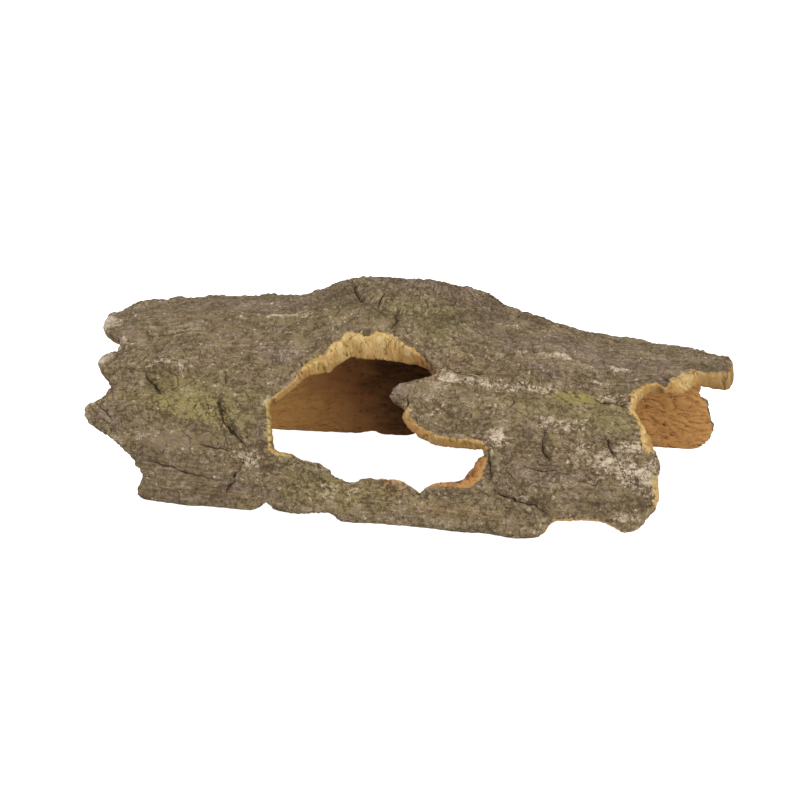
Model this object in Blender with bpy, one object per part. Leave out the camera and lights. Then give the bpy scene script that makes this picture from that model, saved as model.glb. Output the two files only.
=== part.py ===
"""Bark reptile hide: one stiff sheet of bark, curved like half a hollow log and lying open side down.

The sheet is drawn flat and then rolled over an arch. Flat, a place is (along, round) in millimetres:
along runs the length of the log, and round runs over it from the front foot at 0, past the crest at
half the girth, to the back foot at the full girth. Rolled, +X is along the log, +Y is towards the back
wall, +Z is up, and both feet stand on Z = 0.
"""

import bmesh
import bpy
import numpy as np
from mathutils import Vector, noise
from mathutils.geometry import delaunay_2d_cdt

MM = 0.001

# The arch that the sheet is rolled over
GIRTH = 240.0  # width of the flat sheet, from foot to foot
FULLNESS = 2.25  # 2 would be half an ellipse; more makes the walls stand steeper
# One row for each station: along, front half width, back half width, height of the crest
STATIONS = np.array([
    (-146, 55, 50, 70),
    (-80, 61.5, 54, 79.8),
    (0, 66, 57.5, 84),
    (55, 69, 63, 75),
    (100, 63, 66, 65.8),
    (146, 58, 67, 61.9),
], float)
FOOT_WALL = 6.5  # thickness of the bark at its feet
CREST_WALL = 9.0  # and over the crest

# The flat sheet's outline, as (along, round), in four runs that follow each other round the sheet
FRONT_FOOT = [
    (-110, 0), (-56, 0), (-51, 4.5), (-46, 1.4), (-34, 1.4), (-29, 3.2), (-20, 3.8), (-16.5, 0), (70, 0),
    (73, 1.5), (75, 6), (80, 9.8), (98, 9.8), (103, 7.6), (107, 4.2), (112, 4.6),
]
RIGHT_END = [
    (116, 8.5), (118, 12.5), (121.5, 18), (122, 25), (120.5, 33), (121.5, 39), (119, 44), (115, 48),
    (114, 56), (112.5, 61.5), (109, 66), (109, 73), (111, 79), (114, 84), (118, 84), (120.5, 81.5),
    (122.5, 83), (124, 89), (127.5, 94), (132, 98), (138, 102), (146.5, 105.5), (148, 109), (148, 121),
    (146.5, 130), (139, 136), (134, 144), (136, 152), (131, 160), (128, 170), (131, 177), (130.5, 186),
    (132.5, 192), (131.5, 201), (135, 207), (136.5, 214), (137, 220), (138, 226), (137.5, 231),
    (135.5, 236),
]
BACK_FOOT = [
    (131, 240), (104, 240), (100, 236.5), (96, 236), (92, 240), (18, 240), (13, 237), (-4, 236),
    (-9, 240), (-23, 240), (-26, 237.5), (-31, 237.5), (-34, 240), (-116, 240),
]
LEFT_END = [
    (-120, 234), (-119, 226), (-127, 216), (-131, 206), (-128, 196), (-133, 187), (-138.5, 178),
    (-137, 168), (-130, 160), (-124, 150), (-128, 142), (-134, 137), (-138, 131), (-141.5, 121),
    (-142, 110), (-141.5, 101), (-138, 95.5), (-133, 94), (-128, 91), (-128.5, 82), (-133, 80),
    (-137, 75), (-135.5, 69.5), (-131.5, 65), (-129, 60.5), (-129.5, 56), (-133, 52.5), (-137, 51.5),
    (-138.5, 44), (-136.5, 38.5), (-132, 35), (-127, 33.5), (-122, 29.5), (-117, 24), (-112, 17.5),
    (-109, 14), (-111.5, 8), (-112, 3),
]
# The broken hole in the front wall, with the pointed tongue that reaches into it from the right
HOLE = [
    (-49, 31), (-50, 41), (-51, 50), (-52, 54), (-45, 59), (-40, 64), (-38, 69), (-34, 72),
    (-27, 74), (-24.5, 79), (-19, 85), (-11, 83.5), (-6, 84.5), (2, 83.5), (6, 81.5), (12, 80),
    (18, 76.5), (24, 72),
    (16, 68), (11, 66.5), (7, 64.5), (4.5, 61), (4, 57.5), (7, 55), (12.5, 55.2), (11, 52.2), (13.5, 49.5),
    (16, 47), (20, 44.5), (27, 43.2), (36, 43), (46, 43),
    (48.5, 40), (48, 36), (47, 31), (46, 26.5), (42.5, 22.8), (35, 22), (26, 21.5), (21, 18.5),
    (19, 16), (16, 19), (11, 21.8), (0, 21.8), (-5, 21.5), (-9, 18.5), (-13, 18), (-18, 20.5),
    (-22, 24), (-26, 27), (-34, 27.5), (-39, 29), (-46, 29.5),
]

# Where the woody inside reaches past the outer bark's edge or falls short of it: along, round, reach, amount
LIPS = [
    (44, 25, 8.5, 8.5), (48, 36, 6, 3.5), (-49, 30, 7, 2.0), (-8, 85, 24, 2.0), (26, 43, 15, 2.8),
    (4, 60, 8, -4.0), (12.5, 50, 5, 2.6), (116, 50, 8, 3.2), (111, 68, 8, -1.5), (120, 80, 6, -7.0),
    (127, 92, 7, 3.6), (15, 79, 9, -3.5), (-140, 46, 9, -4.0), (-141, 104, 12, -4.0), (-136, 75, 7, -3.5),
    (-130, 60, 7, -2.0), (-130, 85, 6, -2.0), (116, 12, 10, -1.5), (0, 19, 26, -1.5),
]
USUAL_LIP = 0.5

# Where the edge is worn thin and round: along, round, half length, half width, share of the thickness lost
THIN_EDGES = [
    (-139, 80, 20, 60, 0.42), (-118, 14, 12, 14, 0.3), (0, 22, 48, 9, 0.42), (-50, 44, 7, 18, 0.4),
    (6, 60, 12, 12, 0.4), (118, 24, 12, 26, 0.35), (-128, 196, 22, 40, 0.3), (138, 196, 20, 44, 0.3),
    (-42, 62, 14, 12, 0.35), (112, 68, 14, 22, 0.48), (120, 82, 9, 10, 0.55), (128, 94, 14, 10, 0.38),
    (147, 118, 8, 14, 0.1),
]

# Deep cracks in the outer bark, each a run of (along, round) and how deep it is
FISSURES = [
    ([(-75, 57), (-74, 52), (-69, 44), (-65, 36), (-61, 29)], 2.6),
    ([(-61, 26), (-64, 20), (-68, 11), (-68, 4)], 2.0),
    ([(-113, 69), (-109, 61), (-101, 54)], 2.0),
    ([(74, 49), (73, 44), (74, 36)], 1.8),
    ([(97, 52), (99, 48), (103, 41)], 1.8),
    ([(52, 23), (57, 19.5), (65, 20), (70, 17), (75, 12)], 2.4),
    ([(1, 88), (2, 95), (0, 103)], 1.8),
    ([(-25, 122), (-20, 112), (-16, 106)], 2.2),
    ([(27, 75), (34, 74), (44, 75)], 2.0),
    ([(88, 73), (96, 70), (104, 68)], 2.4),
    ([(-96, 152), (-84, 158), (-62, 156), (-48, 161)], 2.2),
    ([(-30, 196), (-22, 187), (-26, 176), (-18, 166)], 2.4),
    ([(38, 150), (52, 156), (60, 168), (80, 171)], 2.2),
    ([(64, 214), (73, 204), (70, 192), (79, 186)], 2.4),
    ([(-100, 221), (-94, 210), (-98, 198)], 2.0),
    ([(104, 128), (92, 131), (78, 128), (66, 132)], 1.8),
]
FISSURE_SIDE = 2.3  # from a fissure's bottom to the bark on either side

# Raised and sunken areas: along, round, half length, half width, rise
KNOT = (5, 122, 41, 40, 8.2)
KNOT_SPOKES = (9, 0.9)  # how many wrinkles run out from the knot's middle, and their height
SWELLINGS = [
    (62, 57, 62, 13, 3.2),  # the ridge that runs out into the tongue
    (88, 28, 34, 19, 2.2),  # the plate to the right of the hole
    (-90, 50, 46, 17, 1.8),  # the plate to the left of it
    (-84, 10, 38, 11, 1.4),
    (-104, 98, 44, 8, 2.4),  # the three ridges that end in the left end's tips, and the hollows between them
    (-112, 73, 34, 7, 2.2),
    (-120, 45, 24, 9, 1.8),
    (-112, 85, 30, 5, -1.6),
    (-112, 60, 26, 5, -1.2),
    (84, 98, 48, 9, 1.8),
    (52, 116, 30, 8, 1.6),
    (18, 8, 50, 9, 1.0),
    (-70, 176, 52, 15, 2.4),
    (44, 198, 46, 17, 2.6),
    (-16, 222, 40, 13, 1.6),
    (100, 166, 34, 12, 1.8),
    (31, 139, 11, 20, 3.4),  # the knot's abrupt right shoulder
    (-26, 127, 10, 18, 2.0),  # and its left one
    (-8, 130, 15, 14, -0.9),
    (64, 140, 8, 20, -1.0),
    (-124, 130, 16, 22, 1.3),
    (68, 3, 14, 10, 2.6),
]
KNOT_FOLLOWED_INSIDE = 0.45  # share of the knot's rise that the inside follows

# Layers of bark that end in a ledge: a run of (along, round), and its height above what lies below it
LEDGES = [
    ([(66, 75), (78, 71.5), (90, 71), (98, 69), (106, 67)], 2.2),
    ([(-128, 68), (-112, 67.5), (-92, 69), (-74, 67)], 1.6),
    ([(-118, 26), (-100, 25), (-84, 21), (-66, 22)], 1.2),
    ([(24, 128), (44, 134), (66, 132), (92, 137)], 1.6),
    ([(-70, 190), (-40, 196), (-8, 192), (16, 197)], 1.8),
    ([(60, 178), (84, 182), (112, 179)], 1.6),
]
LEDGE_FADE = 11.0  # how far the layer takes to sink back to the rest
LEDGE_STEP = 1.6  # half the width of the ledge itself

# The bark's uneven surface: length along the log, width round it, height, and a seed
RIDGES = (75, 15, 1.6, 3.1)
LUMPS = (36, 27, 2.0, 7.7)
GRIT = (12, 8, 1.3, 2.4)
PLATES = (24, 15, 1.5, 0.4)  # the height is the depth of the furrows between the plates
FURROW_SHARE = 0.35  # of a plate's size
INSIDE_RIPPLES = (60, 12, 1.3, 11.3)

# How finely the sheet is cut into triangles
OUTSIDE_SPACING = 4.3
INSIDE_SPACING = 10
EDGE_STEP = 4.8
EDGE_WANDER = 1.0
EDGE_CLEARANCE = 0.62  # from the edges to the nearest row of points, as a share of the spacing
CRACK_CLEARANCE = 0.55  # and from the fissures
LEAST_LIFT = 0.6  # of everything that doesn't stand on the ground


def eased(along, column):
    """A column of STATIONS at any place along the log, with a soft change from each station to the next."""
    starts = STATIONS[:, 0]
    i = np.clip(np.searchsorted(starts, along) - 1, 0, len(starts) - 2)
    t = np.clip((along - starts[i]) / (starts[i + 1] - starts[i]), 0, 1)
    t = t * t * (3 - 2 * t)
    return STATIONS[i, column] * (1 - t) + STATIONS[i + 1, column] * t


def arch_place(along, around, wall_share=0):
    """(point, outward normal) on the arch, in millimetres. wall_share is 0 outside and 1 inside."""
    angle = np.linspace(0, np.pi, 181)
    swing = -np.sign(np.cos(angle)) * np.abs(np.cos(angle)) ** (2 / FULLNESS)
    lift = np.abs(np.sin(angle)) ** (2 / FULLNESS)
    front, back = (eased(along, column) - wall_share * FOOT_WALL for column in (1, 2))
    y = np.where(swing < 0, swing * front, swing * back)
    z = lift * (eased(along, 3) - wall_share * CREST_WALL)
    walked = np.concatenate([[0], np.cumsum(np.hypot(np.diff(y), np.diff(z)))])
    here = around / GIRTH * walked[-1]
    near = np.clip([here - 1, here + 1], 0, walked[-1])
    y_step, z_step = np.diff(np.interp(near, walked, y))[0], np.diff(np.interp(near, walked, z))[0]
    normal = Vector((0, -z_step, y_step)).normalized()
    return Vector((along, np.interp(here, walked, y), np.interp(here, walked, z))), normal


def swelling(along, around, spot):
    """A soft rounded rise, from its height in the middle of the spot to 0 at its edge."""
    middle_along, middle_around, half_length, half_width, rise = spot
    away = ((along - middle_along) / half_length) ** 2 + ((around - middle_around) / half_width) ** 2
    return rise * max(0, 1 - away) ** 0.75


def knot_rise(along, around):
    """The flat-topped knot on the crest, with wrinkles that run out from its middle."""
    middle_along, middle_around, half_length, half_width, rise = KNOT
    u, v = (along - middle_along) / half_length, (around - middle_around) / half_width
    spokes, spoke_rise = KNOT_SPOKES
    wrinkles = spoke_rise * np.cos(spokes * np.arctan2(v, u) + 3 * u) * min(1, np.hypot(u, v))
    return (rise + wrinkles) * np.exp(-(u**4) - v**2)


def waves(along, around, kind):
    """Smooth uneven rises and hollows of one of the kinds above."""
    length, width, height, seed = kind
    return height * noise.noise((along / length, around / width, seed))


def furrows(along, around):
    """The depth of the furrows that part the bark's plates."""
    length, width, depth, seed = PLATES
    nearest, second = noise.voronoi((along / length, around / width, seed))[0][:2]
    return depth * max(0, 1 - (second - nearest) / FURROW_SHARE)


def bark_relief(along, around):
    """How far the outer bark stands out from the arch at a place on the sheet."""
    ridges = RIDGES[2] - 2 * abs(waves(along, around, RIDGES))
    plain = ridges + waves(along, around, LUMPS) + waves(along, around, GRIT) - furrows(along, around)
    swellings = sum(swelling(along, around, spot) for spot in SWELLINGS)
    ledges = sum(ledge(along, around, run, rise) for run, rise in LEDGES)
    return plain + knot_rise(along, around) + swellings + ledges


def ledge(along, around, run, rise):
    """A layer that is highest at its lower edge, the run, and fades above it and past the run's ends."""
    corners = np.array(run, float)
    above = around - np.interp(along, corners[:, 0], corners[:, 1])
    past_end = max(0, corners[0, 0] - along, along - corners[-1, 0])
    if above < -LEDGE_STEP or above > 3 * LEDGE_FADE:
        return 0
    step = min(1, (above + LEDGE_STEP) / (2 * LEDGE_STEP))
    return rise * step * np.exp(-((max(0, above) / LEDGE_FADE) ** 2) - (past_end / LEDGE_FADE) ** 2)


def inside_relief(along, around):
    """The same for the woody inside: long shallow ripples."""
    return waves(along, around, INSIDE_RIPPLES) + KNOT_FOLLOWED_INSIDE * knot_rise(along, around)


def on_foot(place):
    """True for a place on the front foot's edge or the back foot's."""
    return place[1] in (0, GIRTH)


def ragged(corners):
    """A closed outline with its long runs split and the new points wandering, except on a foot."""
    points = []
    for start, end in zip(corners, corners[1:] + corners[:1]):
        a, b = np.array(start, float), np.array(end, float)
        length = np.hypot(*(b - a))
        parts = max(1, round(length / EDGE_STEP))
        sideways = np.array([a[1] - b[1], b[0] - a[0]]) / length
        standing = on_foot(start) and start[1] == end[1]
        points.append(a)
        for i in range(1, parts):
            place = a + (b - a) * i / parts
            wander = 0 if standing else EDGE_WANDER * noise.noise((place[0] / 3, place[1] / 3, 5.5))
            points.append(place + sideways * wander)
    return np.array(points)


def loop_edges(count, first):
    """The edges of a closed loop of points, numbered from first."""
    return [(first + i, first + (i + 1) % count) for i in range(count)]


def inside_of(points, outline):
    """True for each point that lies inside the closed outline."""
    start, end = outline, np.roll(outline, -1, axis=0)
    x, y = points[:, :1], points[:, 1:]
    spans = (start[:, 1] > y) != (end[:, 1] > y)
    rise = np.where(end[:, 1] == start[:, 1], 1, end[:, 1] - start[:, 1])
    crossing = start[:, 0] + (y - start[:, 1]) / rise * (end[:, 0] - start[:, 0])
    return (spans & (x < crossing)).sum(axis=1) % 2 == 1


def distance_to(points, outline):
    """From each point to the nearest side of the closed outline."""
    start = outline
    side = np.roll(outline, -1, axis=0) - start
    offset = points[:, None] - start
    t = np.clip((offset * side).sum(axis=2) / (side**2).sum(axis=1), 0, 1)
    return np.linalg.norm(offset - side * t[..., None], axis=2).min(axis=1)


def lattice(spacing, outlines, cracks):
    """Points in rows, each row half a step past the last, on the bark and away from its edges and cracks."""
    row_step = spacing * np.sqrt(3) / 2
    low, high = outlines[0].min(axis=0), outlines[0].max(axis=0)
    columns, rows = np.arange((high[0] - low[0]) / spacing), np.arange((high[1] - low[1]) / row_step)
    column, row = (grid.ravel() for grid in np.meshgrid(columns, rows))
    points = low + np.stack([(column + row % 2 / 2) * spacing, (row + 0.5) * row_step], axis=1)
    kept = inside_of(points, outlines[0]) & ~inside_of(points, outlines[1])
    for outline in outlines:
        kept &= distance_to(points, outline) > EDGE_CLEARANCE * spacing
    if len(cracks):
        kept &= np.linalg.norm(points[:, None] - cracks, axis=2).min(axis=1) > CRACK_CLEARANCE * spacing
    return points[kept]


def fissure_points():
    """(places, edges, depths) of the fissures: a sunken line with untouched bark on either side."""
    places, edges, depths = [], [], []
    for line, depth in FISSURES:
        corners = np.array(line, float)
        along_line = np.gradient(corners, axis=0)
        sideways = np.stack([-along_line[:, 1], along_line[:, 0]], axis=1)
        sideways /= np.linalg.norm(sideways, axis=1, keepdims=True)
        for offset in (0, -FISSURE_SIDE, FISSURE_SIDE):
            if offset == 0:
                first = len(places)
                edges += [(first + i, first + i + 1) for i in range(len(corners) - 1)]
            places += list(corners + sideways * offset)
            from_start = np.arange(len(corners))
            ends = np.minimum(1, 0.5 + 0.5 * np.minimum(from_start, from_start[::-1]))
            depths += list(depth * ends if offset == 0 else 0 * ends)
    return np.array(places), edges, depths


def cut_sheet(outlines, cracks, crack_edges, spacing):
    """(places, triangles) of the flat sheet, with the outlines' own points first and the cracks' next."""
    places = np.concatenate([*outlines, cracks, lattice(spacing, outlines, cracks)])
    border = sum(len(outline) for outline in outlines)
    edges = loop_edges(len(outlines[0]), 0) + loop_edges(len(outlines[1]), len(outlines[0]))
    edges += [(a + border, b + border) for a, b in crack_edges]
    cut = delaunay_2d_cdt([Vector(p) for p in places], edges, [], 0, 1e-6)
    if len(cut[0]) != len(places):
        raise ValueError("an outline or a fissure crosses itself or another one")
    middles = np.array([places[list(face)].mean(axis=0) for face in cut[2]])
    on_bark = inside_of(middles, outlines[0]) & ~inside_of(middles, outlines[1])
    return places, [tuple(face) for face, keep in zip(cut[2], on_bark) if keep]


def lip_offsets(outline, outward):
    """For each border point, the step in the flat sheet from the outer bark's edge to the inside's edge.

    outward is +1 or -1: the side of the outline that is off the bark.
    """
    ahead, behind = np.roll(outline, -1, axis=0), np.roll(outline, 1, axis=0)
    tangent = ahead - behind
    tangent /= np.linalg.norm(tangent, axis=1, keepdims=True)
    away = np.stack([tangent[:, 1], -tangent[:, 0]], axis=1) * outward
    steps = []
    for place, direction in zip(outline, away):
        amount = USUAL_LIP + noise.noise((place[0] / 14, place[1] / 14, 9.2))
        for along, around, reach, extra in LIPS:
            amount += extra * np.exp(-((place[0] - along) ** 2 + (place[1] - around) ** 2) / reach**2)
        steps.append((0, 0) if on_foot(place) else direction * amount)
    return np.array(steps)


def turn_sign(outline):
    """+1 if the outline runs anticlockwise, -1 if it runs clockwise."""
    x, y = outline.T
    return np.sign((x * np.roll(y, -1) - y * np.roll(x, -1)).sum())


def standing_point(point, place):
    """The point, put exactly on the ground if its place is on a foot."""
    return Vector((point.x, point.y, 0 if on_foot(place) else max(point.z, LEAST_LIFT)))


def outside_point(place, depth):
    """A place on the outer bark, sunk by a crack's depth."""
    point, normal = arch_place(*place)
    return standing_point(point + normal * (bark_relief(*place) - depth), place)


def wall_left(along, around):
    """The share of the bark's full thickness that is left at a place on its edge."""
    lost = 0
    for middle_along, middle_around, half_length, half_width, share in THIN_EDGES:
        away = ((along - middle_along) / half_length) ** 4 + ((around - middle_around) / half_width) ** 4
        lost = max(lost, share * np.exp(-away))
    return 1 - lost


def inside_point(place, edge_place, at_edge):
    """A place on the woody inside. At the edge, edge_place is the place of the outer bark that it faces."""
    wall_share = wall_left(*edge_place) if at_edge and not on_foot(edge_place) else 1
    point, normal = arch_place(place[0], min(max(place[1], 0), GIRTH), wall_share)
    return standing_point(point + normal * inside_relief(*place), edge_place)


def rolled_bark(outlines):
    """(points, faces) of the whole bark: the outer bark, the woody inside and the broken edge."""
    border = sum(len(outline) for outline in outlines)
    cracks, crack_edges, crack_depths = fissure_points()
    outer_places, outer_faces = cut_sheet(outlines, cracks, crack_edges, OUTSIDE_SPACING)
    depths = np.zeros(len(outer_places))
    depths[border : border + len(cracks)] = crack_depths
    points = [outside_point(place, depth) for place, depth in zip(outer_places, depths)]

    first_inner = len(points)
    edge_places, inner_faces = cut_sheet(outlines, np.empty((0, 2)), [], INSIDE_SPACING)
    inner_places = edge_places.copy()
    outward = [turn_sign(outlines[0]), -turn_sign(outlines[1])]
    lips = [lip_offsets(outline, sign) for outline, sign in zip(outlines, outward)]
    inner_places[:border] += np.concatenate(lips)
    for i, (place, edge_place) in enumerate(zip(inner_places, edge_places)):
        points.append(inside_point(place, edge_place, i < border))

    faces = list(outer_faces) + [tuple(first_inner + i for i in reversed(face)) for face in inner_faces]
    sides = loop_edges(len(outlines[0]), 0) + loop_edges(len(outlines[1]), len(outlines[0]))
    faces += [(a, b, first_inner + b, first_inner + a) for a, b in sides]
    return points, faces


def centred(points):
    """The points in metres, with the origin under the middle of the bark's box."""
    corners = np.array(points)
    middle = (corners.min(axis=0) + corners.max(axis=0)) / 2
    shift = Vector((middle[0], middle[1], 0))
    return [(point - shift) * MM for point in points]


def bark_material():
    """Dry grey-brown bark."""
    material = bpy.data.materials.new("bark")
    material.use_nodes = True
    shader = material.node_tree.nodes["Principled BSDF"]
    shader.inputs["Base Color"].default_value = (0.16, 0.13, 0.085, 1)
    shader.inputs["Roughness"].default_value = 0.9
    return material


def clear_scene():
    """Removes everything, such as the cube of a new file."""
    for obj in list(bpy.data.objects):
        bpy.data.objects.remove(obj)


def make_bark_hide():
    """The whole hide as one closed solid, standing on its two feet."""
    outlines = [ragged(FRONT_FOOT + RIGHT_END + BACK_FOOT + LEFT_END), ragged(HOLE)]
    points, faces = rolled_bark(outlines)
    mesh = bpy.data.meshes.new("bark_hide")
    mesh.from_pydata(centred(points), [], faces)
    shape = bmesh.new()
    shape.from_mesh(mesh)
    bmesh.ops.triangulate(shape, faces=[face for face in shape.faces if len(face.verts) == 4])
    bmesh.ops.recalc_face_normals(shape, faces=shape.faces)
    shape.to_mesh(mesh)
    shape.free()
    mesh.shade_smooth()
    mesh.set_sharp_from_angle(angle=np.radians(50))
    mesh.materials.append(bark_material())
    hide = bpy.data.objects.new("bark_hide", mesh)
    bpy.context.scene.collection.objects.link(hide)


clear_scene()
make_bark_hide()
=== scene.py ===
"""Bark reptile hide: the looks of one stiff sheet of bark, curved like half a hollow log.

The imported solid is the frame. Its copy is made finer and gets the bark's plates, grain, cracks and pits, the
fibres of the fresh breaks and the wavy grain of the woody inside, and then one material for all of them.

Patterns are laid out on the flat sheet that the bark is rolled from: along is millimetres along the log, and
round is millimetres over it, from the front foot at 0 to the back foot at GIRTH.
"""

import math
from itertools import combinations

import bpy
import numpy as np
from bpy.props import FloatProperty, FloatVectorProperty, IntProperty, PointerProperty
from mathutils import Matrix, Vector, noise
from mathutils.bvhtree import BVHTree


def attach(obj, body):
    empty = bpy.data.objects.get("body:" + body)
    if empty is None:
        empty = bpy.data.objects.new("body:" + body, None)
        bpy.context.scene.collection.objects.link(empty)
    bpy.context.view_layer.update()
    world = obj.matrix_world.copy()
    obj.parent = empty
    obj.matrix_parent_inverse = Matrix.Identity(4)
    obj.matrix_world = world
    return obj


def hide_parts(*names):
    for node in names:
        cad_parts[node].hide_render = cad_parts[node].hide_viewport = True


bl_info = {
    "name": "Bark Reptile Hide",
    "version": (1, 0, 0),
    "blender": (4, 5, 0),
    "location": "3D View > Sidebar > Bark Hide",
    "description": "Dresses the bark hide's solid: outer bark, broken edges, woody inside, and a plain stage",
    "category": "Add Mesh",
}

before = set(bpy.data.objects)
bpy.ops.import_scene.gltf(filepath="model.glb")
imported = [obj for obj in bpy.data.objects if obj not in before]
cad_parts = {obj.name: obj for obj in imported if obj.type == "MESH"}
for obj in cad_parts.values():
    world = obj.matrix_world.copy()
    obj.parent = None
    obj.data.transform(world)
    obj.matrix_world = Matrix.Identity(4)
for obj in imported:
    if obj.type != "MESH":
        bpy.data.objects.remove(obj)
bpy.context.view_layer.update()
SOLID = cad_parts["bark_hide"]
MM = 0.001

# The flat sheet, as the solid was rolled from it
GIRTH = 240.0
FULLNESS = 2.25
SHEET_MIDDLE = (3.35, -2.03)  # the sheet's own (along, across) at the solid's origin
WALL_MIDDLE = 3.0  # from the arch to the middle of the bark's thickness, where it is thin
# How crisp the solid's edges stay when it is made smooth: worn ones, what is added on fresh breaks, and corners
SHARP_TURN = math.radians(48)
WORN_CREASE, FRESH_CREASE, CORNER_CREASE = 0.4, 0.5, 0.9
NEARLY_STRAIGHT = -0.6  # cosine between an outline's two ways out of a vertex, above which it turns a corner
MOSTLY_FRESH = 0.5
FOOT_RISE = (0.3, 2.5)  # the heights above the ground between which the relief comes in
FOOT_RELIEF = 0.15  # the share of the relief that the feet keep, so that they stay nearly flat
# One row for each station: along, front half width, back half width, height of the crest
STATIONS = np.array([
    (-146, 55, 50, 70),
    (-80, 61.5, 54, 79.8),
    (0, 66, 57.5, 84),
    (55, 69, 63, 75),
    (100, 63, 66, 65.8),
    (146, 58, 67, 61.9),
], float)
# The knot's middle and reach, and the point that its wrinkles run out from
KNOT = (6, 128, 42, 40)
KNOT_FAN = (6, 156)

# The point that the lights face
LIT_POINT = Vector((0, 0, 0.04))
FULL_FRAME = 36  # width of the camera's sensor, in millimetres

# Cracks in the outer bark: a run of (along, round), the depth, and the half width of the dark line
CRACKS = [
    ([(-73, 56), (-74.5, 52), (-73, 48), (-70, 42), (-65, 36), (-59.5, 29)], 1.1, 0.62),
    ([(-62, 23), (-66, 16), (-68, 11), (-69, 5)], 1.0, 0.42),
    ([(-113, 67.5), (-110, 63.6), (-105.5, 58.7), (-100.5, 53.3)], 1.6, 0.8),
    ([(-133, 50), (-128, 45), (-124, 41)], 1.2, 0.45),
    ([(-73, 66), (-71, 59)], 0.8, 0.4),
    ([(-101.6, 65.4), (-97.6, 65.6), (-94.7, 62.8), (-93.5, 58.9), (-95.2, 57), (-98.7, 57.6)], 0.5, 0.36),
    ([(-84, 31), (-76, 30), (-66, 29)], 1.0, 0.42),
    ([(-111, 22), (-97, 19), (-82, 16), (-68, 13)], 0.9, 0.4),
    ([(73, 51), (71.5, 46), (73, 41), (75.5, 36)], 1.5, 0.55),
    ([(97, 52), (100, 47), (103, 41)], 1.5, 0.6),
    ([(47.5, 42), (48.8, 35.5), (49.8, 31.7), (50.2, 28), (51, 24.5)], 2.0, 0.9),
    ([(18, 17.5), (19.9, 14.9)], 0.8, 0.7),
    ([(9.5, 54), (11.5, 54), (12.2, 56), (11.6, 60)], 1.6, 0.6),
    ([(8.5, 55), (4, 57.5)], 0.8, 0.4),
    ([(16, 51), (15.5, 46)], 1.2, 0.5),
    ([(62, 95.5), (63.5, 92)], 1.0, 0.6),
    ([(118.5, 94), (121, 88), (122, 84)], 0.8, 1.3),
    ([(125, 92), (122.5, 85)], 0.8, 0.9),
    ([(127, 107), (131, 112), (134.5, 113.5), (139, 111)], 0.9, 0.8),
    ([(52, 23), (56, 19.5), (63, 18), (69, 16.5), (75, 12)], 1.8, 0.5),
    ([(57, 32), (60, 29.5), (62, 26)], 0.6, 0.4),
    ([(56.5, 65.5), (58.5, 62), (56.5, 58)], 1.0, 0.6),
    ([(71, 81.5), (73, 78.5)], 1.0, 0.75),
    ([(94.5, 91.5), (95.5, 88.5)], 1.0, 0.75),
    ([(58, 74), (60.5, 72.5)], 0.8, 0.6),
    ([(90, 71.5), (97, 69.6), (103, 68.6), (109, 68.6)], 1.2, 0.5),
    ([(16, 81.5), (18, 76), (22.5, 71.5)], 1.6, 0.6),
    ([(2, 86), (4, 81)], 1.2, 0.6),
    ([(-39.2, 74.5), (-37.1, 69.6)], 1.2, 0.6),
    ([(-25, 122), (-20, 112), (-16, 106)], 1.6, 0.5),
    ([(-6, 113), (-9, 106), (-8, 99)], 1.3, 0.5),
    ([(1, 88), (2, 95), (0, 103)], 1.4, 0.45),
    ([(22, 121), (25, 113), (23, 107)], 1.2, 0.45),
    ([(27, 75), (34, 74), (44, 75)], 1.3, 0.5),
    ([(61, 36), (70, 32), (79, 33), (88, 29)], 0.9, 0.32),
    ([(88, 29), (95, 27), (98, 31)], 0.8, 0.3),
    ([(-96, 152), (-84, 158), (-62, 156), (-48, 161)], 1.6, 0.5),
    ([(-30, 196), (-22, 187), (-26, 176), (-18, 166)], 1.8, 0.55),
    ([(38, 150), (52, 156), (60, 168), (80, 171)], 1.6, 0.5),
    ([(64, 214), (73, 204), (70, 192), (79, 186)], 1.8, 0.55),
    ([(-100, 221), (-94, 210), (-98, 198)], 1.5, 0.5),
    ([(104, 128), (92, 131), (78, 128), (66, 132)], 1.4, 0.5),
]

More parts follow.
